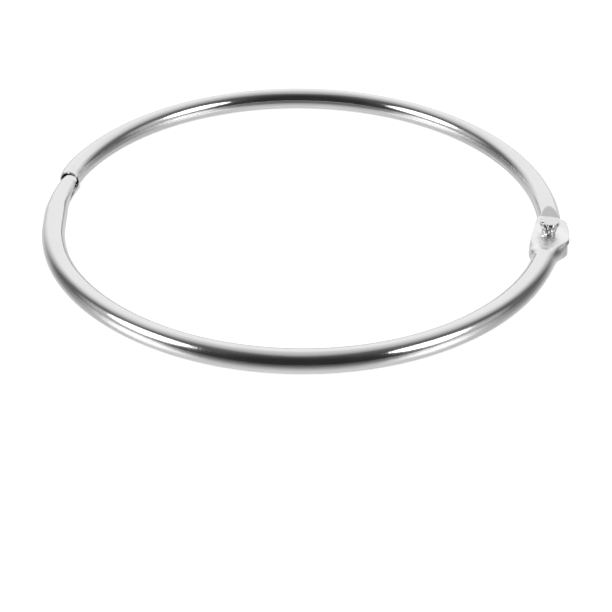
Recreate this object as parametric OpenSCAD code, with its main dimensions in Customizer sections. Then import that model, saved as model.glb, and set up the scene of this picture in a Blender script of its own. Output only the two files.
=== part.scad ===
/* [Ring] */
// Inside diameter of the closed ring
ring_inner_d = 76; // [60:1:90]
// Outside diameter of the rolled tube
tube_d = 3.6; // [3.4:0.1:4.2]
// Thickness of the steel strip that the tube is rolled from
strip_t = 0.55; // [0.45:0.05:0.6]
// Width of the butt seam along the inside of the ring
seam_gap = 0.08; // [0.05:0.01:0.15]

/* [Rivet] */
// How far the rivet sits inside the tube's centre line
rivet_inset = 0.3; // [0.1:0.05:0.4]
// Diameter of the rivet's shank
rivet_d = 2.0; // [1.6:0.1:2.1]
// Widest diameter of the rivet's flared upper head
rivet_head_d = 2.96; // [2.8:0.02:3.4]
// Height of the upper head above its cheek
rivet_head_h = 2.1; // [1.8:0.1:2.4]
// Flare of the upper head's side, in degrees
rivet_flare = 14; // [8:1:16]
// Rounding of the upper head's rim
rivet_rim_r = 0.3; // [0.25:0.05:0.5]
// Diameter of the rivet's flat lower head
rivet_foot_d = 3.2; // [2.8:0.1:3.6]
// Thickness of the lower head
rivet_foot_h = 0.4; // [0.3:0.05:0.5]

/* [Tongue] */
// Thickness of the tongue, where the tube is pressed flat
tongue_t = 1.7; // [1.6:0.1:1.9]
// Radius of the tongue's end round the rivet
tongue_end_r = 2.1; // [1.9:0.05:2.15]
// Distance from the rivet to where the pressed flat ends
tongue_flat_l = 4.9; // [4.9:0.05:5.4]
// Length of the slope from the flat up to the round tube
tongue_slope_l = 2.5; // [1.8:0.1:3]

/* [Fork] */
// Gap between the tongue and each cheek
cheek_play = 0.05; // [0.03:0.01:0.1]
// Radial gap between the rivet and the hole in the tongue
rivet_play = 0.05; // [0.02:0.01:0.1]
// Radial gap between the rivet and the holes in the cheeks
rivet_seat_gap = 0.02; // [0.01:0.01:0.04]
// Reach of the cheeks past the rivet, towards the tongue
cheek_reach = 4.7; // [4.4:0.1:4.7]
// Reach of the cheeks from the rivet, away from the ring
cheek_out = 3.35; // [3.1:0.05:3.5]
// Reach of the cheeks from the rivet, into the ring
cheek_in = 2.65; // [2.5:0.05:2.9]
// Rounding of the cheeks' edges
cheek_edge_r = 0.15; // [0.1:0.05:0.25]
// Distance from the rivet back to the cheeks' outer corner
fork_corner_l = 1.9; // [1.5:0.1:2.1]
// Distance from the rivet back to the end of the slot for the tongue
slot_l = 2.3; // [2.3:0.1:2.6]
// Distance from the rivet back to where the cheeks' flats end
fork_flat_l = 3; // [2.8:0.1:3.4]
// Distance from the rivet back to where the fork becomes round tube
fork_l = 6.6; // [6:0.1:8]

/* [Clasp] */
// Angle from the rivet to the rim of the socket
socket_angle = 178.4; // [174:0.1:182]
// Length of the drawn-down neck outside the socket
neck_l = 5.4; // [4.5:0.1:6.5]
// Length of the nose inside the socket
nose_l = 3.6; // [2.5:0.1:4.5]
// Diameter of the neck where it enters the socket
neck_d = 2.15; // [1.9:0.05:2.2]
// Diameter of the nose at its tip
nose_tip_d = 1.6; // [1.5:0.05:1.8]
// Angle that the seam's upper edge has drawn back to at the socket
seam_open_angle = 52; // [30:1:70]
// Length of the shoulder that ends the strip's lower edge, just before the socket
shoulder_l = 0.8; // [0.5:0.1:1.2]
// How far the neck lies outside the ring's centre line
neck_offset = 0.12; // [0:0.01:0.12]

/* [Hidden] */
$fn = 96;
nickel = [0.78, 0.78, 0.80];
rivet_nickel = [0.70, 0.70, 0.73];
eps = 0.01;

tube_r = tube_d / 2;
bore_r = tube_r - strip_t;
ring_r = ring_inner_d / 2 + tube_r;
hinge_r = ring_r - rivet_inset;
tongue_h = tongue_t / 2;
slot_h = tongue_h + cheek_play;
cheek_h = slot_h + strip_t;
fork_angle = asin(fork_l / ring_r);
neck_angle = socket_angle + degrees(neck_l);

// Longer than any cut through the tube has to be
reach = 2 * tube_d;
// Where the fork or the neck joins the tube, they overlap over joint_l, and their skins never
// coincide: the fork's stands joint_skin outside the tube's, and the neck's lies as far inside it
joint_l = 0.2;
joint_skin = 0.04;

// Where the fork's sides have begun to swell, as shares of the way from the tube to the flats, and
// how far they then reach, as shares of cheek_out and cheek_in
outer_swell = [0.3, 0.57];
inner_swell = [0.5, 0.96];
// The cheeks' outline on to their front, as shares of cheek_reach and of cheek_out or cheek_in
outer_shares = [[-0.25, 1], [0.43, 0.9], [0.79, 0.78], [0.89, 0.63], [0.92, 0.48], [1, 0.36]];
inner_shares = [[0.32, 0.87], [0.89, 0.77], [0.98, 0.72], [1, 0.64]];
front_shares = [-0.25, 0.17, 0.43, 0.66, 0.79, 0.89, 0.92, 0.98, 1];
swell_steps = 6;
corner_steps = 5;

// The neck's lower quarter keeps the tube's radius, from lip_from and over lip_span degrees
lip_from = 285;
lip_span = 60;
// Angle that the seam's lower edge draws back to at its shoulder
lower_open_angle = 35;
// How the neck is drawn down along its length: 1 is a cone
draw_power = 1.5;
neck_sides = 16;
neck_steps = 6;
shoulder_steps = 4;
nose_steps = 4;

function degrees(arc_l) = arc_l / ring_r * 180 / PI;
function mix(a, b, t) = a + (b - a) * t;
function clamp01(t) = min(max(t, 0), 1);
function blend(t) = let (u = clamp01(t)) u * u * (3 - 2 * u);

// A round bar that follows the ring from angle a to angle b
module ring_bar(r, a, b) {
    rotate([0, 0, a])
        rotate_extrude(angle = b - a)
            translate([ring_r, 0])
                circle(r);
}

// The butt seam: a thin flat cut through the inner wall from angle a to angle b
module seam(a, b) {
    rotate([0, 0, a])
        rotate_extrude(angle = b - a)
            translate([ring_r - reach, -seam_gap / 2])
                square([reach - bore_r / 2, seam_gap]);
}

// Everything above a tongue of half thickness h, with its slope up to the radius r
module above_tongue(h, r, flat_l) {
    translate([hinge_r, 0, 0])
        rotate([90, 0, 90])
            linear_extrude(2 * reach, center = true)
                polygon([
                    [-reach, h],
                    [flat_l, h],
                    [flat_l + tongue_slope_l, r + eps],
                    [flat_l + tongue_slope_l, 2 * r],
                    [-reach, 2 * r]
                ]);
}

// The tube pressed to a tongue at its hinge end: the same form makes its skin and its hollow
module tongue_form(r, h, end_r, flat_l, rim_angle) {
    difference() {
        ring_bar(r, 0, rim_angle);
        above_tongue(h, r, flat_l);
        mirror([0, 0, 1])
            above_tongue(h, r, flat_l);
    }
    translate([hinge_r, 0, -h])
        cylinder(r = end_r, h = 2 * h);
}

module socket_half_ring() {
    slope = atan((tube_r - tongue_h) / tongue_slope_l);
    color(nickel)
        difference() {
            tongue_form(tube_r, tongue_h, tongue_end_r, tongue_flat_l, socket_angle);
            tongue_form(
                bore_r,
                tongue_h - strip_t,
                tongue_end_r - strip_t,
                tongue_flat_l + strip_t * tan(slope / 2),
                socket_angle + 1
            );
            translate([hinge_r, 0, -reach])
                cylinder(r = rivet_d / 2 + rivet_play, h = 2 * reach);
            seam(-1, socket_angle + 1);
        }
}

// A solid skin through a row of sections. Each is a loop of the same even number of points, whose
// first half faces its second half, so that strips between the halves close both ends.
module loft(sections) {
    n = len(sections[0]);
    last = (len(sections) - 1) * n;
    polyhedron(
        points = [for (section = sections) each section],
        faces = concat(
            [
                for (a = [0 : n : last - n], i = [0 : n - 1])
                    let (j = (i + 1) % n, b = a + n)
                    each [[a + i, a + j, b + j], [a + i, b + j, b + i]]
            ],
            [
                for (i = [0 : n / 2 - 2])
                    let (m = n - 1 - i)
                    each [[i + 1, i, m], [i + 1, m, m - 1]]
            ],
            [
                for (i = [last : last + n / 2 - 2])
                    let (m = 2 * last + n - 1 - i)
                    each [[i, i + 1, m], [i + 1, m - 1, m]]
            ]
        )
    );
}

// The fork is a loft along t, the distance from the rivet towards the tongue. Its sections are rounded
// rectangles that grow out of the tube's circle, between an inner and an outer edge.
base_t = -fork_l - joint_l;
base_r = tube_r + joint_skin;
base_n = sqrt(ring_r * ring_r - base_t * base_t) - hinge_r;
outer_edge = concat(
    [
        [base_t, base_n + base_r],
        [mix(-fork_l, -fork_corner_l, outer_swell[0]), cheek_out * outer_swell[1]],
        [-fork_corner_l, cheek_out]
    ],
    [for (share = outer_shares) [cheek_reach * share[0], cheek_out * share[1]]]
);
inner_edge = concat(
    [
        [base_t, base_n - base_r],
        [mix(-fork_l, -fork_flat_l, inner_swell[0]), -cheek_in * inner_swell[1]],
        [-fork_flat_l, -cheek_in]
    ],
    [for (share = inner_shares) [cheek_reach * share[0], -cheek_in * share[1]]]
);
fork_stations = concat(
    [for (i = [0 : swell_steps]) mix(base_t, -fork_flat_l, i / swell_steps)],
    [-fork_corner_l],
    [for (share = front_shares) cheek_reach * share]
);

function fork_section(t, inset) =
    let (
        roundness = clamp01((-fork_flat_l - t) / (-fork_flat_l - base_t)),
        h = mix(cheek_h, base_r, blend(roundness)) - inset,
        out = lookup(t, outer_edge) - inset,
        in = lookup(t, inner_edge) + inset,
        w = (out - in) / 2,
        edge_r = mix(max(cheek_edge_r - inset, eps), min(w, h) - eps, roundness),
        yaw = asin(t / ring_r) * roundness
    )
    [
        for (quarter = [0 : 3], i = [0 : corner_steps])
            let (
                a = 90 * (quarter + i / corner_steps),
                middle = 90 * quarter + 45,
                x = sign(cos(middle)) * (w - edge_r) + edge_r * cos(a),
                z = sign(sin(middle)) * (h - edge_r) + edge_r * sin(a)
            )
            [hinge_r + (out + in) / 2 + x * cos(yaw), t + x * sin(yaw), z]
    ];

module fork() {
    difference() {
        loft([for (t = fork_stations) fork_section(t, 0)]);
        loft([
            for (t = concat([base_t - eps], [for (t = fork_stations) if (t > base_t && t < 0) t]))
                fork_section(t, strip_t + 2 * eps)
        ]);
        translate([hinge_r - reach, -slot_l, -slot_h])
            cube([2 * reach, reach + slot_l, 2 * slot_h]);
        translate([hinge_r, 0, -reach])
            cylinder(r = rivet_d / 2 + rivet_seat_gap, h = 2 * reach);
    }
}

// The neck and nose are a loft of C-shaped sections: u runs from the neck's base to the nose's tip,
// and angle 0 of a section faces the ring's centre, 90 faces up
neck_total = neck_l + nose_l;
neck_wall = strip_t - 2 * joint_skin;
lip_end = neck_l - shoulder_l;
seam_edge = asin(seam_gap / bore_r);

// How far the neck is drawn down, from 0 at its base to 1 at the socket's rim
function drawn(u) = pow(clamp01(u / neck_l), draw_power);
function body_r(u) =
    mix(mix(tube_r - joint_skin, neck_d / 2, drawn(u)), nose_tip_d / 2, blend((u - neck_l) / nose_l));
// The strip's lower edge keeps the tube's radius until its shoulder
function kept(u) = 1 - blend((u - lip_end) / shoulder_l);
function section_r(a, u) = mix(body_r(u), tube_r - joint_skin, kept(u) * blend((a - lip_from) / lip_span));
function upper_edge(u) = mix(seam_edge, seam_open_angle, blend(u / neck_l));
function lower_edge(u) = mix(360 - seam_edge, 360 - lower_open_angle, 1 - kept(u));
function neck_point(a, r, u) =
    let (
        turn = neck_angle - degrees(u),
        out = ring_r + neck_offset * drawn(u) - r * cos(a)
    )
    [out * cos(turn), out * sin(turn), r * sin(a)];
function neck_section(u) =
    let (angles = [for (i = [0 : neck_sides]) mix(upper_edge(u), lower_edge(u), i / neck_sides)])
    concat(
        [for (a = angles) neck_point(a, section_r(a, u), u)],
        [for (i = [neck_sides : -1 : 0]) neck_point(angles[i], section_r(angles[i], u) - neck_wall, u)]
    );

module neck() {
    loft([
        for (u = concat(
            [-joint_l],
            [for (i = [1 : neck_steps]) i * lip_end / neck_steps],
            [for (i = [1 : shoulder_steps]) lip_end + i * shoulder_l / shoulder_steps],
            [for (i = [1 : nose_steps]) neck_l + i * nose_l / nose_steps]
        ))
            neck_section(u)
    ]);
}

module fork_half_ring() {
    color(nickel)
        difference() {
            union() {
                difference() {
                    ring_bar(tube_r, neck_angle, 360 - fork_angle);
                    ring_bar(bore_r, neck_angle - 1, 361 - fork_angle);
                }
                fork();
                neck();
            }
            seam(neck_angle, 360);
        }
}

// The upper head flares outwards from its cheek, up to a rounded rim
module flared_head() {
    rim_x = rivet_head_d / 2 - rivet_rim_r;
    rim_z = rivet_head_h - rivet_rim_r;
    side_x = rim_x + rivet_rim_r * cos(rivet_flare);
    side_z = rim_z - rivet_rim_r * sin(rivet_flare);
    rotate_extrude() {
        polygon([
            [0, 0],
            [side_x - side_z * tan(rivet_flare), 0],
            [side_x, side_z],
            [rim_x, rim_z],
            [rim_x, rivet_head_h],
            [0, rivet_head_h]
        ]);
        intersection() {
            translate([rim_x, rim_z])
                circle(rivet_rim_r);
            translate([0, side_z])
                square([rivet_head_d, rivet_head_h]);
        }
    }
}

module hinge_rivet() {
    color(rivet_nickel)
        translate([hinge_r, 0, 0]) {
            translate([0, 0, -cheek_h])
                cylinder(d = rivet_d, h = 2 * cheek_h);
            translate([0, 0, cheek_h])
                flared_head();
            translate([0, 0, -cheek_h - rivet_foot_h])
                cylinder(d = rivet_foot_d, h = rivet_foot_h);
        }
}

socket_half_ring();
fork_half_ring();
hinge_rivet();
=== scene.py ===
import math

import bmesh
import bpy
from mathutils import Matrix, Vector, noise


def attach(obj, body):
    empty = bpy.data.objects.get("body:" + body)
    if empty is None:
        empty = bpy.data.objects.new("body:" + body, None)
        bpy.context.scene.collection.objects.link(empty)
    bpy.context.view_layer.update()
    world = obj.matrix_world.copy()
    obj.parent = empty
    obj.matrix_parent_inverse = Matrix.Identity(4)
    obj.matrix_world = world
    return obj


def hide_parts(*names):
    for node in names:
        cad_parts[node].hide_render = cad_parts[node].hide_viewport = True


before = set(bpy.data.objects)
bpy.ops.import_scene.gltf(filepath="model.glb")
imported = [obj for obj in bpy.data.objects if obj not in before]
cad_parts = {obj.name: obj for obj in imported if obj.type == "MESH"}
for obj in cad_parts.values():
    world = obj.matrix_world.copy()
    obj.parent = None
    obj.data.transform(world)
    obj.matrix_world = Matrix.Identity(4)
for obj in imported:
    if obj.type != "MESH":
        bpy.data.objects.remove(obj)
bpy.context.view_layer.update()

MM = 0.001

# The rolled tube. A section has this many stations in each quarter, and a rim this many round its edge
RING_R = 39.8 * MM
TUBE_R = 1.8 * MM
STRIP_T = 0.55 * MM
SEAM_HALF = 0.02 * MM
STEP_L = 0.34 * MM
QUARTER_STEPS = 16
RIM_STEPS = 6
# Edges sharper than this stay sharp
SHARP_ANGLE = math.radians(32)
# Points nearer than this are one point
MERGE = 1e-7
# A rounded corner of an outline takes up at most this share of its sides
CORNER_SHARE = 0.45
CORNER_STEPS = 5
# An inset at a sharp corner grows at most this many times
INSET_GROWTH = 2
# No corner of a section is sharper than this
SMALLEST_R = 0.02 * MM

# The rivet
HINGE_R = 39.5 * MM
SHANK_R = 1.0 * MM
HEAD_R = 1.48 * MM
HEAD_H = 2.1 * MM
HEAD_FLARE = math.radians(14)
HEAD_RIM_R = 0.3 * MM
HEAD_DOME_H = 0.06 * MM
HEAD_SIDE_STEPS = 14
HEAD_RIM_STEPS = 14
HEAD_TOP_STEPS = 12
RIVET_SIDES = 128
FOOT_R = 1.6 * MM
FOOT_H = 0.4 * MM
FOOT_RIM_R = 0.15 * MM

# The hammer dents of the rivet's head. They start a little over the cheek, keep off the middle of the top
# and are deepest near the rim and on the left side
DENT_DEPTH = 0.42 * MM
DENT_SIZE = 0.4 * MM
DENT_START_H = 0.05 * MM
DENT_FREE_R = 0.3 * MM
DENT_REACH = 1.2 * MM
DENT_RIGHT_SHARE = 0.35
DENT_FAR_SHARE = 0.25
DENT_LEAN = 0.7
DENT_DRAWN_IN = 0.2

# The tongue, pressed flat between the fork's cheeks
TONGUE_HALF = 0.85 * MM
TONGUE_END_R = 2.1 * MM
TONGUE_FLAT_L = 4.9 * MM
TONGUE_SLOPE_L = 2.5 * MM
TONGUE_RISE = (TUBE_R - TONGUE_HALF) / TONGUE_SLOPE_L
TONGUE_TUBE_END = 1.5 * MM
TONGUE_HOLE_R = 1.05 * MM
TONGUE_RIM_R = 0.1 * MM
TONGUE_END_STEPS = 48
TONGUE_SIDE_STEPS = 10
# The press leaves soft rims: how soft, where the faces are cut for them, and how far round it they are cut
PRESS_SOFT = 0.07 * MM
PRESS_CUTS = (-1.5, -0.75, 0, 0.75, 1.5)
PRESS_MARGIN = 0.5 * MM
PRESS_LOWEST = 0.3 * MM

# The fork. Its edges grow round over FORK_EDGE_L, and its tube starts to go flat at FORK_L
SLOT_HALF = 0.9 * MM
SLOT_L = 2.3 * MM
CHEEK_HALF = 1.45 * MM
CHEEK_EDGE_R = 0.15 * MM
CHEEK_HOLE_R = 1.02 * MM
CORNER_R = 0.45 * MM
FORK_L = 6.6 * MM
FORK_FLAT_L = 3.0 * MM
FORK_STEP_L = 0.1 * MM
FORK_EDGE_L = 2.2 * MM
FORK_EDGE_R = 0.5 * MM
FORK_EDGE_FROM = -0.9 * MM

# The clasp's socket, whose bore opens only close to its mouth
SOCKET_ANGLE = math.radians(178.4)
MOUTH_L = 2.5 * MM
MOUTH_R = 1.68 * MM
MOUTH_BORE_R = 1.43 * MM
MOUTH_BORE_POWER = 8
MOUTH_RIM_R = 0.1 * MM
MOUTH_STEPS = 20

# The clasp's neck and nose. The seam opens between an upper edge and a lower edge with a lip
NECK_L = 11.0 * MM
NOSE_L = 3.6 * MM
OPENING_L = 6.5 * MM
UPPER_OPEN = math.radians(36)
LOWER_OPEN = math.radians(0.7)
LOWER_OPEN_IN_NOSE = math.radians(35)
LIP_R = 1.7 * MM
LIP_FROM = math.radians(285)
LIP_SPAN = math.radians(60)
SHOULDER_L = 0.6 * MM
NECK_STEP_L = 0.1 * MM
# Radius of the neck and nose by their distance from the socket's mouth, with its slope
NECK_PROFILE = (
    (-NECK_L, TUBE_R, 0.0),
    (-7.0 * MM, 1.6 * MM, -0.03),
    (-1.5 * MM, 1.53 * MM, -0.02),
    (-0.5 * MM, 1.45 * MM, -0.14),
    (0.0, 1.2 * MM, -0.4),
    (0.6 * MM, 1.12 * MM, -0.08),
    (NOSE_L, 0.8 * MM, -0.2),
)
# How far the neck lies off the socket's middle, by its distance from the mouth, with its slope
NECK_SHIFT = (
    (-2.5 * MM, 0.0, 0.0),
    (-0.6 * MM, -0.3 * MM, 0.0),
    (0.0, -0.18 * MM, 0.2),
    (0.8 * MM, 0.0, 0.0),
)
# The ring lies a little flat at its clasp: how far it is drawn in, by angle, with its slope
CLASP_FLAT = (
    (math.radians(168), 0.0, 0.0),
    (SOCKET_ANGLE, -0.36 * MM, -0.006),
    (math.radians(182), -0.74 * MM, 0.0),
    (math.radians(188), -0.63 * MM, 0.0),
    (math.radians(197), -0.65 * MM, 0.001),
    (math.radians(204), -0.38 * MM, 0.002),
    (math.radians(222), 0.0, 0.0),
)

FLOOR_Z = -(CHEEK_HALF + FOOT_H)


# ---- Shared shapes ----


def mix(a, b, share):
    return a + (b - a) * share


def blend(share):
    share = min(max(share, 0.0), 1.0)
    return share * share * (3 - 2 * share)


def curve(t, knots):
    """A smooth curve through knots of (place, value, slope)."""
    for (t0, v0, m0), (t1, v1, m1) in zip(knots, knots[1:]):
        if t <= t1:
            break
    length = t1 - t0
    s = min(max((t - t0) / length, 0.0), 1.0)
    return (
        v0 * (2 * s**3 - 3 * s**2 + 1)
        + m0 * length * (s**3 - 2 * s**2 + s)
        + v1 * (3 * s**2 - 2 * s**3)
        + m1 * length * (s**3 - s**2)
    )


# Angles round a section run from the seam's upper edge, over the top, to its lower edge.
# Angle 0 faces the ring's centre
SEAM_EDGE = math.asin(SEAM_HALF / TUBE_R)
AROUND = [SEAM_EDGE]
AROUND += [math.radians(90 * (i + 0.5) / QUARTER_STEPS) for i in range(4 * QUARTER_STEPS)]
AROUND += [math.tau - SEAM_EDGE]
SHARES = [(a - SEAM_EDGE) / (math.tau - 2 * SEAM_EDGE) for a in AROUND]


def ring_point(a, r, turn, offset=0.0):
    """The point at the angle a of a section of radius r, turned to its place in the ring."""
    out = RING_R + offset - r * math.cos(a)
    return Vector((out * math.cos(turn), out * math.sin(turn), r * math.sin(a)))


def tube_section(turn, skin_r=TUBE_R, bore_r=TUBE_R - STRIP_T):
    """The strip's own section where it is rolled to a tube: its skin, then its bore back to the seam."""
    skin = [ring_point(a, skin_r, turn) for a in AROUND]
    bore = [ring_point(a, bore_r, turn) for a in AROUND]
    return skin + bore[::-1]


def rim_angles():
    """The angles round a rounded edge, from one of its sides to the other."""
    return [math.pi / 2 * i / RIM_STEPS for i in range(RIM_STEPS + 1)]


def start_loop(bm, points):
    """A closed loop of edges through these points."""
    verts = [bm.verts.new(p) for p in points]
    for a, b in zip(verts, verts[1:] + verts[:1]):
        bm.edges.new((a, b))
    return verts


def loop_edges(bm, loop):
    return [bm.edges.get((a, b)) for a, b in zip(loop, loop[1:] + loop[:1])]


def extend(bm, loop, points):
    """Extrudes a closed loop, moves the new loop onto these points, and gives it in the same order."""
    made = bmesh.ops.extrude_edge_only(bm, edges=loop_edges(bm, loop))["geom"]
    fresh = {v for v in made if isinstance(v, bmesh.types.BMVert)}
    after = []
    for vert, point in zip(loop, points):
        new = next(e.other_vert(vert) for e in vert.link_edges if e.other_vert(vert) in fresh)
        new.co = point
        after.append(new)
    return after


def spin_tube(bm, loop, start, end):
    """Spins a section round the ring between two angles, and gives its last loop in the same order."""
    steps = math.ceil(abs(end - start) * RING_R / STEP_L)
    made = bmesh.ops.spin(
        bm,
        geom=loop + loop_edges(bm, loop),
        cent=(0, 0, 0),
        axis=(0, 0, 1),
        angle=end - start,
        steps=steps,
        use_merge=False,
    )["geom_last"]
    last = [v for v in made if isinstance(v, bmesh.types.BMVert)]
    turn = Matrix.Rotation(end - start, 3, "Z")
    places = [turn @ v.co for v in loop]
    return [min(last, key=lambda v: (v.co - place).length_squared) for place in places]


def close_ends(bm):
    """Closes the strip's cut ends."""
    bmesh.ops.holes_fill(bm, edges=[e for e in bm.edges if e.is_boundary], sides=0)


def rounded(corners, radius):
    """An outline whose inner corners are rounded; its first and last corners stay."""
    points = [corners[0]]
    for before, corner, after in zip(corners, corners[1:], corners[2:]):
        back, on = (before - corner), (after - corner)
        cut = min(radius, CORNER_SHARE * back.length, CORNER_SHARE * on.length)
        a, b = corner + back.normalized() * cut, corner + on.normalized() * cut
        for i in range(CORNER_STEPS + 1):
            s = i / CORNER_STEPS
            points.append((1 - s) ** 2 * a + 2 * s * (1 - s) * corner + s**2 * b)
    return points + [corners[-1]]


def inset_outline(points, insets, back_kept):
    """The same anticlockwise outline, each of its points drawn in by its own inset.

    Where the back is kept, the line from its last point to its first stays in place."""
    moved = []
    befores, afters = [points[-1]] + points[:-1], points[1:] + [points[0]]
    for before, here, after, inset in zip(befores, points, afters, insets):
        a, b = (here - before).normalized(), (after - here).normalized()
        inward = Vector((-a.y - b.y, a.x + b.x)).normalized()
        moved.append(here + inward * inset / max(1 / INSET_GROWTH, inward.dot(Vector((-a.y, a.x)))))
    if back_kept:
        along_back = (points[0] - points[-1]).normalized()
        moved[0] = points[0] - along_back * insets[0]
        moved[-1] = points[-1] + along_back * insets[-1]
    return moved


def plate(bm, outline, hole_r, low, high, low_rims, high_rims, back_kept=False):
    """A flat plate round the rivet, with its hole and rounded rims: a rim has one radius for each point.

    The outline is anticlockwise."""
    def row(rims, level, side, a):
        insets = [r * (1 - math.sin(a)) for r in rims]
        heights = [level + side * r * (1 - math.cos(a)) for r in rims]
        return [Vector((p.x, p.y, z)) for p, z in zip(inset_outline(outline, insets, back_kept), heights)]

    def hole(z):
        circle = [math.tau * i / len(outline) for i in range(len(outline))]
        return [Vector((HINGE_R + hole_r * math.cos(a), hole_r * math.sin(a), z)) for a in circle]

    rows = [row(low_rims, low, 1, a) for a in rim_angles()]
    rows += [row(high_rims, high, -1, a) for a in rim_angles()[::-1]]
    first = start_loop(bm, rows[0])
    loop = first
    for points in rows[1:]:
        loop = extend(bm, loop, points)
    low_hole = start_loop(bm, hole(low))
    high_hole = extend(bm, low_hole, hole(high))
    for outer, inner in ((first, low_hole), (loop, high_hole)):
        bmesh.ops.triangle_fill(bm, use_beauty=True, edges=loop_edges(bm, outer) + loop_edges(bm, inner))


def flatten_clasp(bm):
    """Draws the ring in towards its centre on both sides of the clasp."""
    for vert in bm.verts:
        turn = math.atan2(vert.co.y, vert.co.x) % math.tau
        vert.co += Vector((math.cos(turn), math.sin(turn), 0)) * curve(turn, CLASP_FLAT)


def finish_piece(name, bm, body, node, material):
    """Makes the piece from its closed shells, smooth apart from its real edges."""
    bmesh.ops.recalc_face_normals(bm, faces=bm.faces)
    for face in bm.faces:
        face.smooth = True
    for edge in bm.edges:
        edge.smooth = edge.calc_face_angle(0.0) < SHARP_ANGLE
    mesh = bpy.data.meshes.new(name)
    bm.to_mesh(mesh)
    bm.free()
    piece = bpy.data.objects.new(name, mesh)
    bpy.context.scene.collection.objects.link(piece)
    even = piece.modifiers.new("even_normals", "WEIGHTED_NORMAL")
    even.keep_sharp = True
    mesh.materials.append(material)
    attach(piece, body)
    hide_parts(node)
    return piece


# ---- The half with the socket ----


def press_height(t):
    """Half the tongue's height at a distance t from the rivet."""
    return max(TONGUE_HALF, TONGUE_HALF + (t - TONGUE_FLAT_L) * TONGUE_RISE)


def press_tongue(bm):
    """Presses the tube flat near the rivet: its faces are first cut along the flats' rims."""
    reach = TONGUE_FLAT_L + TONGUE_SLOPE_L + PRESS_MARGIN

    def pressed_faces():
        middles = [(f, f.calc_center_median()) for f in bm.faces]
        return [(f, middle) for f, middle in middles if middle.x > 0 and middle.y < reach]

    def cut(faces, place, normal, dist):
        edges = dict.fromkeys(e for f in faces for e in f.edges)
        verts = dict.fromkeys(v for f in faces for v in f.verts)
        geom = faces + list(edges) + list(verts)
        bmesh.ops.bisect_plane(bm, geom=geom, dist=dist, plane_co=place, plane_no=normal)

    cut([f for f, middle in pressed_faces()], (0, TONGUE_FLAT_L, 0), (0, 1, 0), 0)
    for side in (1, -1):
        for on_flat in (True, False):
            normal = (0, 0, 1) if on_flat else (0, -side * TONGUE_RISE, 1)
            for shift in PRESS_CUTS:
                faces = [
                    f
                    for f, middle in pressed_faces()
                    if (middle.y < TONGUE_FLAT_L) == on_flat and middle.z * side > PRESS_LOWEST
                ]
                place = (0, TONGUE_FLAT_L, side * (TONGUE_HALF + shift * PRESS_SOFT))
                cut(faces, place, normal, MERGE)
    for vert in bm.verts:
        if vert.co.x < 0 or vert.co.y > reach:
            continue
        out = math.hypot(vert.co.x, vert.co.y) - RING_R
        on_skin = math.hypot(out, vert.co.z) > TUBE_R - STRIP_T / 2
        top = press_height(vert.co.y) - (0 if on_skin else STRIP_T)
        over = abs(vert.co.z) - top
        if over > -2 * PRESS_SOFT:
            soft = (over + 2 * PRESS_SOFT) ** 2 / (8 * PRESS_SOFT) if over < 2 * PRESS_SOFT else over
            vert.co.z -= math.copysign(soft, vert.co.z)


def mouth_sections():
    """The sections of the socket's mouth: it narrows to its rim, and the rim is rounded."""
    sections = []
    for i in range(1, MOUTH_STEPS + 1):
        share = i / MOUTH_STEPS
        turn = SOCKET_ANGLE - mix(MOUTH_L, MOUTH_RIM_R, share) / RING_R
        skin_r = mix(TUBE_R, MOUTH_R, blend(share))
        bore_r = mix(TUBE_R - STRIP_T, MOUTH_BORE_R, share**MOUTH_BORE_POWER)
        sections.append(tube_section(turn, skin_r, bore_r))
    for a in rim_angles()[1:]:
        turn = SOCKET_ANGLE - MOUTH_RIM_R * (1 - math.sin(a)) / RING_R
        skin_r = MOUTH_R - MOUTH_RIM_R * (1 - math.cos(a))
        sections.append(tube_section(turn, skin_r, MOUTH_BORE_R))
    return sections


def tongue_outline(start):
    """The tongue's end from above, anticlockwise: round the rivet, then outside along to the tube."""
    inner_end = math.sqrt(TONGUE_END_R**2 - TONGUE_TUBE_END**2)
    stop = math.tau - math.atan2(TONGUE_TUBE_END, -inner_end)
    turns = [-stop * i / TONGUE_END_STEPS for i in range(TONGUE_END_STEPS, 0, -1)]
    end = [Vector((HINGE_R + TONGUE_END_R * math.cos(a), TONGUE_END_R * math.sin(a))) for a in turns]
    turns = [start * i / TONGUE_SIDE_STEPS for i in range(TONGUE_SIDE_STEPS + 1)]
    return end + [ring_point(math.pi, TUBE_R, turn).xy for turn in turns]


def socket_half():
    """The half with the socket: its tongue by the rivet, its tube and its mouth."""
    bm = bmesh.new()
    start = math.asin(TONGUE_TUBE_END / RING_R)
    first = start_loop(bm, tube_section(start))
    loop = spin_tube(bm, first, start, SOCKET_ANGLE - MOUTH_L / RING_R)
    for section in mouth_sections():
        loop = extend(bm, loop, section)
    press_tongue(bm)
    close_ends(bm)
    outline = tongue_outline(start)
    rims = [TONGUE_RIM_R] * len(outline)
    plate(bm, outline, TONGUE_HOLE_R, -TONGUE_HALF, TONGUE_HALF, rims, rims)
    flatten_clasp(bm)
    return bm


# ---- The half with the fork ----

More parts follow.
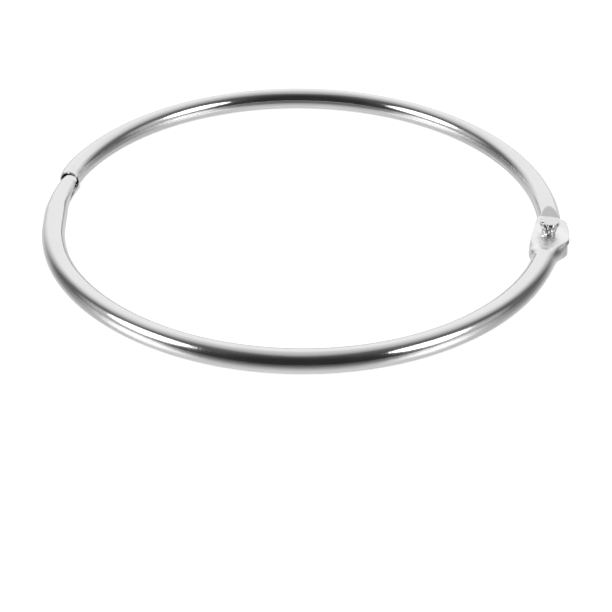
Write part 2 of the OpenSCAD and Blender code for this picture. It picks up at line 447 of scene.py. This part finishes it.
# The fork from above, measured from the rivet: the outer and inner edge by their distance along it, with the
# slope, and the corners of the cheeks' front. The rivet is at 0, and the tube lies at minus
BASE_N = math.sqrt(RING_R**2 - FORK_L**2) - HINGE_R
FORK_OUTER = (
    (-FORK_L, BASE_N + TUBE_R, 0.168),
    (-5.2 * MM, 1.9 * MM, 0.34),
    (-1.9 * MM, 3.35 * MM, 0.44),
)
FORK_INNER = (
    (-FORK_L, BASE_N - TUBE_R, 0.05),
    (-4.8 * MM, -2.55 * MM, -0.17),
    (-3.1 * MM, -2.65 * MM, 0.0),
    (1.5 * MM, -2.3 * MM, 0.1),
)
CHEEK_FRONT = [
    Vector((n * MM, t * MM))
    for n, t in (
        (3.35, -1.9), (3.35, -1.2), (3.0, 2.0), (2.6, 3.7), (2.1, 4.2), (1.6, 4.35),
        (1.2, 4.7), (-1.7, 4.7), (-1.95, 4.55), (-2.05, 4.2), (-2.3, 1.5),
    )
]


def fork_edge_r(t):
    """How round the edges of the cheeks are: nearly sharp in front, and softer where they join the tube."""
    return mix(CHEEK_EDGE_R, FORK_EDGE_R, blend((FORK_EDGE_FROM - t) / (SLOT_L + FORK_EDGE_FROM)))


def fork_section(t):
    """The strip's section in the fork, from the tube's circle to a rounded rectangle."""
    roundness = min(max((-FORK_FLAT_L - t) / (FORK_L - FORK_FLAT_L), 0.0), 1.0)
    half_h = mix(CHEEK_HALF, TUBE_R, blend(roundness))
    outer, inner = curve(t, FORK_OUTER), curve(t, FORK_INNER)
    middle, half_w = (outer + inner) / 2, (outer - inner) / 2
    edge_r = mix(fork_edge_r(t), min(half_w, half_h), blend((-SLOT_L - t) / FORK_EDGE_L))
    yaw = math.asin(t / RING_R) * roundness
    loops = []
    for inset in (0.0, STRIP_T):
        w, h = half_w - inset, half_h - inset
        r = max(edge_r - inset, SMALLEST_R)
        points = []
        for a in AROUND:
            x = -math.copysign(w - r, math.cos(a)) - r * math.cos(a)
            z = math.copysign(h - r, math.sin(a)) + r * math.sin(a)
            if a in (AROUND[0], AROUND[-1]):
                x, z = -w, math.copysign(SEAM_HALF, math.sin(a))
            points.append(Vector((HINGE_R + middle + x * math.cos(yaw), t + x * math.sin(yaw), z)))
        loops.append(points)
    return loops[0] + loops[1][::-1]


def neck_section(u):
    """The strip's section in the neck and nose, at a distance u from the socket's mouth."""
    opened = blend((u + OPENING_L) / OPENING_L)
    kept = 1 - blend((u + SHOULDER_L) / SHOULDER_L)
    body_r = curve(u, NECK_PROFILE)
    shift = curve(u, NECK_SHIFT)
    upper = mix(SEAM_EDGE, UPPER_OPEN, opened)
    lower = math.tau - mix(mix(SEAM_EDGE, LOWER_OPEN, opened), LOWER_OPEN_IN_NOSE, 1 - kept)
    turn = SOCKET_ANGLE - u / RING_R
    skin, bore = [], []
    for share in SHARES:
        a = mix(upper, lower, share)
        r = mix(body_r, LIP_R, opened * kept * blend((a - LIP_FROM) / LIP_SPAN))
        skin.append(ring_point(a, r, turn, shift))
        bore.append(ring_point(a, r - STRIP_T, turn, shift))
    return skin + bore[::-1]


def fork_half():
    """The half with the fork: its tube, its neck and nose, and its two cheeks."""
    bm = bmesh.new()
    neck_turn = SOCKET_ANGLE + NECK_L / RING_R
    fork_turn = math.tau - math.asin(FORK_L / RING_R)
    first = start_loop(bm, tube_section(neck_turn))
    loop = spin_tube(bm, first, neck_turn, fork_turn)
    steps = round((FORK_L - SLOT_L) / FORK_STEP_L)
    for i in range(1, steps + 1):
        loop = extend(bm, loop, fork_section(mix(-FORK_L, -SLOT_L, i / steps)))
    loop = first
    steps = round((NECK_L + NOSE_L) / NECK_STEP_L)
    for i in range(1, steps + 1):
        loop = extend(bm, loop, neck_section(mix(-NECK_L, NOSE_L, i / steps)))
    close_ends(bm)
    back = [Vector((curve(-SLOT_L, edge), -SLOT_L)) for edge in (FORK_OUTER, FORK_INNER)]
    outline = rounded([back[0]] + CHEEK_FRONT + [back[1]], CORNER_R)
    outline = [Vector((HINGE_R + p.x, p.y)) for p in outline]
    sharp = [0.0] * len(outline)
    rims = [fork_edge_r(p.y) for p in outline]
    plate(bm, outline, CHEEK_HOLE_R, SLOT_HALF, CHEEK_HALF, sharp, rims, back_kept=True)
    plate(bm, outline, CHEEK_HOLE_R, -CHEEK_HALF, -SLOT_HALF, rims, sharp, back_kept=True)
    flatten_clasp(bm)
    return bm


# ---- The rivet ----


def rivet():
    """The rivet: a profile from the middle of its foot to the middle of its head, spun round."""
    bm = bmesh.new()
    top = CHEEK_HALF + HEAD_H
    profile = [(0.0, FLOOR_Z)]
    for a in rim_angles():
        profile.append((FOOT_R - FOOT_RIM_R * (1 - math.sin(a)), FLOOR_Z + FOOT_RIM_R * (1 - math.cos(a))))
    profile += [(FOOT_R, -CHEEK_HALF), (SHANK_R, -CHEEK_HALF), (SHANK_R, CHEEK_HALF)]
    rim_x, rim_z = HEAD_R - HEAD_RIM_R, top - HEAD_DOME_H - HEAD_RIM_R
    side_x = rim_x + HEAD_RIM_R * math.cos(HEAD_FLARE)
    side_z = rim_z - HEAD_RIM_R * math.sin(HEAD_FLARE)
    base_x = side_x - (side_z - CHEEK_HALF) * math.tan(HEAD_FLARE)
    for i in range(HEAD_SIDE_STEPS):
        share = i / HEAD_SIDE_STEPS
        profile.append((mix(base_x, side_x, share), mix(CHEEK_HALF, side_z, share)))
    for i in range(HEAD_RIM_STEPS + 1):
        a = mix(-HEAD_FLARE, math.pi / 2, i / HEAD_RIM_STEPS)
        profile.append((rim_x + HEAD_RIM_R * math.cos(a), rim_z + HEAD_RIM_R * math.sin(a)))
    for i in range(1, HEAD_TOP_STEPS + 1):
        s = 1 - i / HEAD_TOP_STEPS
        profile.append((rim_x * s, top - HEAD_DOME_H * s * s))
    verts = [bm.verts.new((HINGE_R + x, 0, z)) for x, z in profile]
    edges = [bm.edges.new(pair) for pair in zip(verts, verts[1:])]
    bmesh.ops.spin(
        bm,
        geom=verts + edges,
        cent=(HINGE_R, 0, 0),
        axis=(0, 0, 1),
        angle=math.tau,
        steps=RIVET_SIDES,
        use_merge=True,
    )
    bmesh.ops.remove_doubles(bm, verts=bm.verts, dist=MERGE)
    peen(bm, side_z)
    return bm


def peen(bm, rim_z):
    """Leaves the small dents of the hammer that spread the head: most of them lie on its left side."""
    axis = Vector((HINGE_R, 0, 0))
    for vert in bm.verts:
        out = vert.co - axis
        rise = out.z
        out.z = 0
        if rise < CHEEK_HALF + DENT_START_H or out.length < DENT_FREE_R:
            continue
        out.normalize()
        left = blend(0.5 - DENT_LEAN * out.x)
        near_rim = 1 - min(abs(rise - rim_z) / DENT_REACH, 1.0)
        strength = mix(DENT_RIGHT_SHARE, 1.0, left) * mix(DENT_FAR_SHARE, 1.0, near_rim)
        dent = noise.noise(vert.co / DENT_SIZE) * strength
        vert.co += out * DENT_DEPTH * (dent - DENT_DRAWN_IN * left)


# ---- Materials ----

# The duller patch that the press left in front of the rivet: its middle and where it fades out. Over the
# same patch the base colour is painted lighter, a painted highlight that brightens the cheek: the tone it is
# lightened towards, and its gain on the patch's roughness
PRESSED_AND_PAINTED_LIGHT_PLACE = (HINGE_R - 0.5 * MM, -1.5 * MM, CHEEK_HALF)
PRESSED_AND_PAINTED_LIGHT_RADIUS = (2.6 * MM, 4.8 * MM)
PAINTED_LIGHT_TONE = 0.98
PAINTED_LIGHT_GAIN = 3
# The plating's unevenness comes in clouds: how fine they are, and in how many layers
TONE_CLOUD = (180, 4)
POLISH_CLOUD = (260, 5)
WAVE_CLOUD = (420, 2)
PRESS_CLOUD = (1100, 2)
PEEL_CLOUD = (2600, 2)
CLOUD_CORE = (0.3, 0.7)
CLOUD_WHOLE = (0.2, 0.8)
TONE_LOW = (0.96, 0.96, 0.965)
TONE_HIGH = (1.03, 1.03, 1.03)
POLISH_SPREAD = 0.25
PRESS_TO_WAVES = 6
PEEL_TO_WAVES = 0.4


def grey(tone):
    return (tone, tone, tone, 1)


def node_maths(nodes, links):
    """Gives two functions that add a node: one a sum, and one a smooth change from one range to another.

    A sum's terms are numbers or other nodes' outputs."""
    def sum_of(operation, *terms):
        made = nodes.new("ShaderNodeMath")
        made.operation = operation
        for socket, term in zip(made.inputs, terms):
            if isinstance(term, float):
                socket.default_value = term
            else:
                links.new(term, socket)
        return made.outputs["Value"]

    def ramp(value, low, high, to_low, to_high):
        change = nodes.new("ShaderNodeMapRange")
        change.interpolation_type = "SMOOTHSTEP"
        change.inputs["From Min"].default_value = low
        change.inputs["From Max"].default_value = high
        change.inputs["To Min"].default_value = to_low
        change.inputs["To Max"].default_value = to_high
        links.new(value, change.inputs["Value"])
        return change.outputs["Result"]

    return sum_of, ramp


def nickel(name, shade, rough, pressed_rough, wave):
    """Nickel plate on steel. In front of the rivet, where the press struck it, it is duller, and its base
    colour there is painted lighter as painted light that brightens the cheek.
    """
    material = bpy.data.materials.new(name)
    material.use_nodes = True
    nodes, links = material.node_tree.nodes, material.node_tree.links
    sum_of, ramp = node_maths(nodes, links)
    shader = nodes["Principled BSDF"]
    shader.inputs["Metallic"].default_value = 1.0
    place = nodes.new("ShaderNodeTexCoord")

    def cloud(scale, detail):
        made = nodes.new("ShaderNodeTexNoise")
        made.inputs["Scale"].default_value = scale
        made.inputs["Detail"].default_value = detail
        links.new(place.outputs["Object"], made.inputs["Vector"])
        return made.outputs["Fac"]

    def colours():
        made = nodes.new("ShaderNodeMix")
        made.data_type = "RGBA"
        return made

    apart = nodes.new("ShaderNodeVectorMath")
    apart.operation = "DISTANCE"
    apart.inputs[1].default_value = PRESSED_AND_PAINTED_LIGHT_PLACE
    links.new(place.outputs["Object"], apart.inputs[0])
    pressed_and_painted_light = ramp(apart.outputs["Value"], *PRESSED_AND_PAINTED_LIGHT_RADIUS, 1.0, 0.0)

    tone = colours()
    tone.inputs["A"].default_value = [shade * part for part in TONE_LOW] + [1]
    tone.inputs["B"].default_value = [shade * part for part in TONE_HIGH] + [1]
    links.new(cloud(*TONE_CLOUD), tone.inputs["Factor"])
    # Painted light: in the patch in front of the rivet the base colour is lightened towards a pale tone, a
    # painted highlight that brightens the cheek's dulled reflection
    painted_light_mix = colours()
    painted_light_mix.inputs["B"].default_value = grey(PAINTED_LIGHT_TONE)
    links.new(tone.outputs["Result"], painted_light_mix.inputs["A"])
    painted_light_share = min(1.0, PAINTED_LIGHT_GAIN * pressed_rough)
    links.new(ramp(pressed_and_painted_light, 0.0, 1.0, 0.0, painted_light_share), painted_light_mix.inputs["Factor"])
    links.new(painted_light_mix.outputs["Result"], shader.inputs["Base Color"])

    smoothest, roughest = rough * (1 - POLISH_SPREAD), rough * (1 + POLISH_SPREAD)
    polish = ramp(cloud(*POLISH_CLOUD), *CLOUD_CORE, smoothest, roughest)
    dulled = ramp(pressed_and_painted_light, 0.0, 1.0, 0.0, pressed_rough)
    links.new(sum_of("ADD", polish, dulled), shader.inputs["Roughness"])

    # Long shallow waves from rolling, the finer peel of the plating, and the press's marks in its patch
    waves = ramp(cloud(*WAVE_CLOUD), *CLOUD_WHOLE, 0.0, wave)
    marks = ramp(cloud(*PRESS_CLOUD), *CLOUD_CORE, 0.0, PRESS_TO_WAVES * wave)
    peel = ramp(cloud(*PEEL_CLOUD), *CLOUD_WHOLE, 0.0, PEEL_TO_WAVES * wave)
    height = sum_of("ADD", sum_of("ADD", waves, peel), sum_of("MULTIPLY", marks, pressed_and_painted_light))
    bump = nodes.new("ShaderNodeBump")
    bump.inputs["Strength"].default_value = 1.0
    bump.inputs["Distance"].default_value = 1.0
    links.new(height, bump.inputs["Height"])
    links.new(bump.outputs["Normal"], shader.inputs["Normal"])
    return material


# ---- Studio ----

# The camera looks down on the ring: its place, its own three directions and its lens in millimetres
CAMERA_PLACE = Vector((40.078, -193.46, 120.163)) * MM
CAMERA_RIGHT = Vector((0.97896, 0.20386, 0.00902))
CAMERA_UP = Vector((-0.12442, 0.5613, 0.81821))
CAMERA_BACK = Vector((0.16173, -0.80211, 0.57486))
CAMERA_LENS = 84.34
SENSOR_W = 36
CLIP_START, CLIP_END = 0.01, 10

# The white tent stands opposite the camera. It reaches as far as both slanted ways let it, over a soft edge,
# and is greyer overhead
ROOM_AZIMUTH = 348.6
TENT_SIDES = ((-0.69, 1.2, 0.45), (0.69, 1.2, 0.45))
TENT_EDGE = (-0.27, 0.81)
TENT_TOP = (0.62, 1.0)
TENT_TOP_TONE = 0.62
# The dark room: its walls, the lit wall round each soft box, and the darker part behind the camera
ROOM_TONE = 0.14
SIDE_WALLS = ((243, 19), (99.5, 19))
SIDE_WALL_EDGE = (0.84, 1.0)
SIDE_WALL_TONE = 0.55
CAMERA_DARK = (0.4, 0.95)
CAMERA_ELEVATION = 21
CAMERA_TONE = 0.03

# The soft boxes: azimuth and elevation in degrees, distance, width and height in metres, and radiance
SOFT_BOXES = {
    "left_soft_box": (235.5, 32.5, 1.2, 0.72, 0.76, 2.0),
    "right_soft_box": (111, 32.5, 1.2, 0.64, 0.72, 2.0),
}

# The table: its own glow and colour, and its gloss, which the metal mirrors at a flat angle
TABLE_HALF_L = 3.0
TABLE_GLOW = 0.8
TABLE_GLOW_IN_METAL = 0.5
TABLE_COLOUR = 0.65
TABLE_GLOSS_COLOUR = 0.8
TABLE_GLOSS_ROUGH = 0.35
TABLE_GRAZE_POWER = 1.5


def make_camera():
    """The camera, turned to the room by its own three directions."""
    data = bpy.data.cameras.new("camera")
    data.sensor_width = SENSOR_W
    data.lens = CAMERA_LENS
    data.clip_start, data.clip_end = CLIP_START, CLIP_END
    camera = bpy.data.objects.new("camera", data)
    bpy.context.scene.collection.objects.link(camera)
    turn = Matrix((CAMERA_RIGHT, CAMERA_UP, CAMERA_BACK)).transposed().to_4x4()
    camera.matrix_world = Matrix.Translation(CAMERA_PLACE) @ turn
    bpy.context.scene.camera = camera


def direction(azimuth, elevation):
    """From the ring towards a place in the room: azimuth 0 is +Y and 90 is +X."""
    a, e = math.radians(azimuth), math.radians(elevation)
    return Vector((math.sin(a) * math.cos(e), math.cos(a) * math.cos(e), math.sin(e)))


def room_way(side, back, up):
    """A way in the room: to its side, to its back and up."""
    sideways, backwards = direction(ROOM_AZIMUTH + 90, 0), direction(ROOM_AZIMUTH, 0)
    return sideways * side + backwards * back + Vector((0, 0, up))


def soft_box(name, azimuth, elevation, distance, width, height, radiance):
    """An oval area light that faces the ring."""
    data = bpy.data.lights.new(name, "AREA")
    data.shape = "ELLIPSE"
    data.size, data.size_y = width, height
    data.energy = radiance * width * height * math.pi
    lamp = bpy.data.objects.new(name, data)
    bpy.context.scene.collection.objects.link(lamp)
    towards = direction(azimuth, elevation)
    lamp.location = towards * distance
    lamp.rotation_mode = "QUATERNION"
    lamp.rotation_quaternion = towards.to_track_quat("Z", "Y")


def make_room():
    """A white tent over the far side of the table, and a dark room on the camera's side."""
    world = bpy.data.worlds.new("room")
    bpy.context.scene.world = world
    world.use_nodes = True
    nodes, links = world.node_tree.nodes, world.node_tree.links
    sum_of, ramp = node_maths(nodes, links)
    background = nodes["Background"]
    background.inputs["Color"].default_value = (1, 1, 1, 1)
    place = nodes.new("ShaderNodeTexCoord")

    def along(axis):
        made = nodes.new("ShaderNodeVectorMath")
        made.operation = "DOT_PRODUCT"
        made.inputs[1].default_value = axis
        links.new(place.outputs["Generated"], made.inputs[0])
        return made.outputs["Value"]

    edges = [along(room_way(*way)) for way in TENT_SIDES]
    tent = ramp(sum_of("MINIMUM", *edges), *TENT_EDGE, 0.0, 1.0)
    top = ramp(along((0, 0, 1)), *TENT_TOP, 1.0, TENT_TOP_TONE)
    light = sum_of("MULTIPLY", tent, top)
    for azimuth, elevation in SIDE_WALLS:
        side = ramp(along(direction(azimuth, elevation)), *SIDE_WALL_EDGE, 0.0, SIDE_WALL_TONE)
        light = sum_of("MAXIMUM", light, side)
    camera_side = along(direction(ROOM_AZIMUTH - 180, CAMERA_ELEVATION))
    light = sum_of("MAXIMUM", light, ramp(camera_side, *CAMERA_DARK, ROOM_TONE, CAMERA_TONE))
    path = nodes.new("ShaderNodeLightPath")
    light = sum_of("MAXIMUM", light, path.outputs["Is Camera Ray"])
    links.new(light, background.inputs["Strength"])


def table_white():
    """The pale table's material. The metal mirrors its gloss and a weaker glow; the camera sees it white."""
    material = bpy.data.materials.new("white_table")
    material.use_nodes = True
    nodes, links = material.node_tree.nodes, material.node_tree.links
    nodes.clear()
    sum_of, _ = node_maths(nodes, links)
    path = nodes.new("ShaderNodeLightPath")

    matt = nodes.new("ShaderNodeBsdfDiffuse")
    matt.inputs["Color"].default_value = grey(TABLE_COLOUR)
    glow = nodes.new("ShaderNodeEmission")
    glow.inputs["Color"].default_value = grey(TABLE_GLOW)
    shown = sum_of("MAXIMUM", path.outputs["Is Camera Ray"], path.outputs["Is Transmission Ray"])
    in_metal = sum_of("MULTIPLY", path.outputs["Is Glossy Ray"], TABLE_GLOW_IN_METAL / TABLE_GLOW)
    links.new(sum_of("MAXIMUM", shown, in_metal), glow.inputs["Strength"])
    lit = nodes.new("ShaderNodeAddShader")
    links.new(matt.outputs[0], lit.inputs[0])
    links.new(glow.outputs[0], lit.inputs[1])

    gloss = nodes.new("ShaderNodeBsdfGlossy")
    gloss.inputs["Color"].default_value = grey(TABLE_GLOSS_COLOUR)
    gloss.inputs["Roughness"].default_value = TABLE_GLOSS_ROUGH
    weight = nodes.new("ShaderNodeLayerWeight")
    weight.inputs["Blend"].default_value = 0.5
    steep = sum_of("POWER", sum_of("SUBTRACT", 1.0, weight.outputs["Facing"]), TABLE_GRAZE_POWER)
    share = sum_of("MULTIPLY", sum_of("SUBTRACT", 1.0, steep), path.outputs["Is Glossy Ray"])
    both = nodes.new("ShaderNodeMixShader")
    links.new(share, both.inputs[0])
    links.new(lit.outputs[0], both.inputs[1])
    links.new(gloss.outputs[0], both.inputs[2])
    output = nodes.new("ShaderNodeOutputMaterial")
    links.new(both.outputs[0], output.inputs["Surface"])
    return material


def make_floor():
    bm = bmesh.new()
    bmesh.ops.create_grid(bm, x_segments=1, y_segments=1, size=TABLE_HALF_L)
    bmesh.ops.translate(bm, verts=bm.verts, vec=(0, 0, FLOOR_Z))
    mesh = bpy.data.meshes.new("floor")
    bm.to_mesh(mesh)
    bm.free()
    mesh.materials.append(table_white())
    floor = bpy.data.objects.new("floor", mesh)
    bpy.context.scene.collection.objects.link(floor)


strip_nickel = nickel("nickel_plated_strip", shade=0.80, rough=0.12, pressed_rough=0.3, wave=0.005 * MM)
rivet_nickel = nickel("nickel_plated_rivet", shade=0.76, rough=0.06, pressed_rough=0.0, wave=0.003 * MM)

finish_piece("socket_half", socket_half(), "socket_half", "socket_half_ring", strip_nickel)
finish_piece("fork_half", fork_half(), "fork_half", "fork_half_ring", strip_nickel)
finish_piece("rivet", rivet(), "fork_half", "hinge_rivet", rivet_nickel)

make_camera()
make_room()
make_floor()
for box_name, box_values in SOFT_BOXES.items():
    soft_box(box_name, *box_values)
bpy.context.scene.view_settings.view_transform = "Standard"
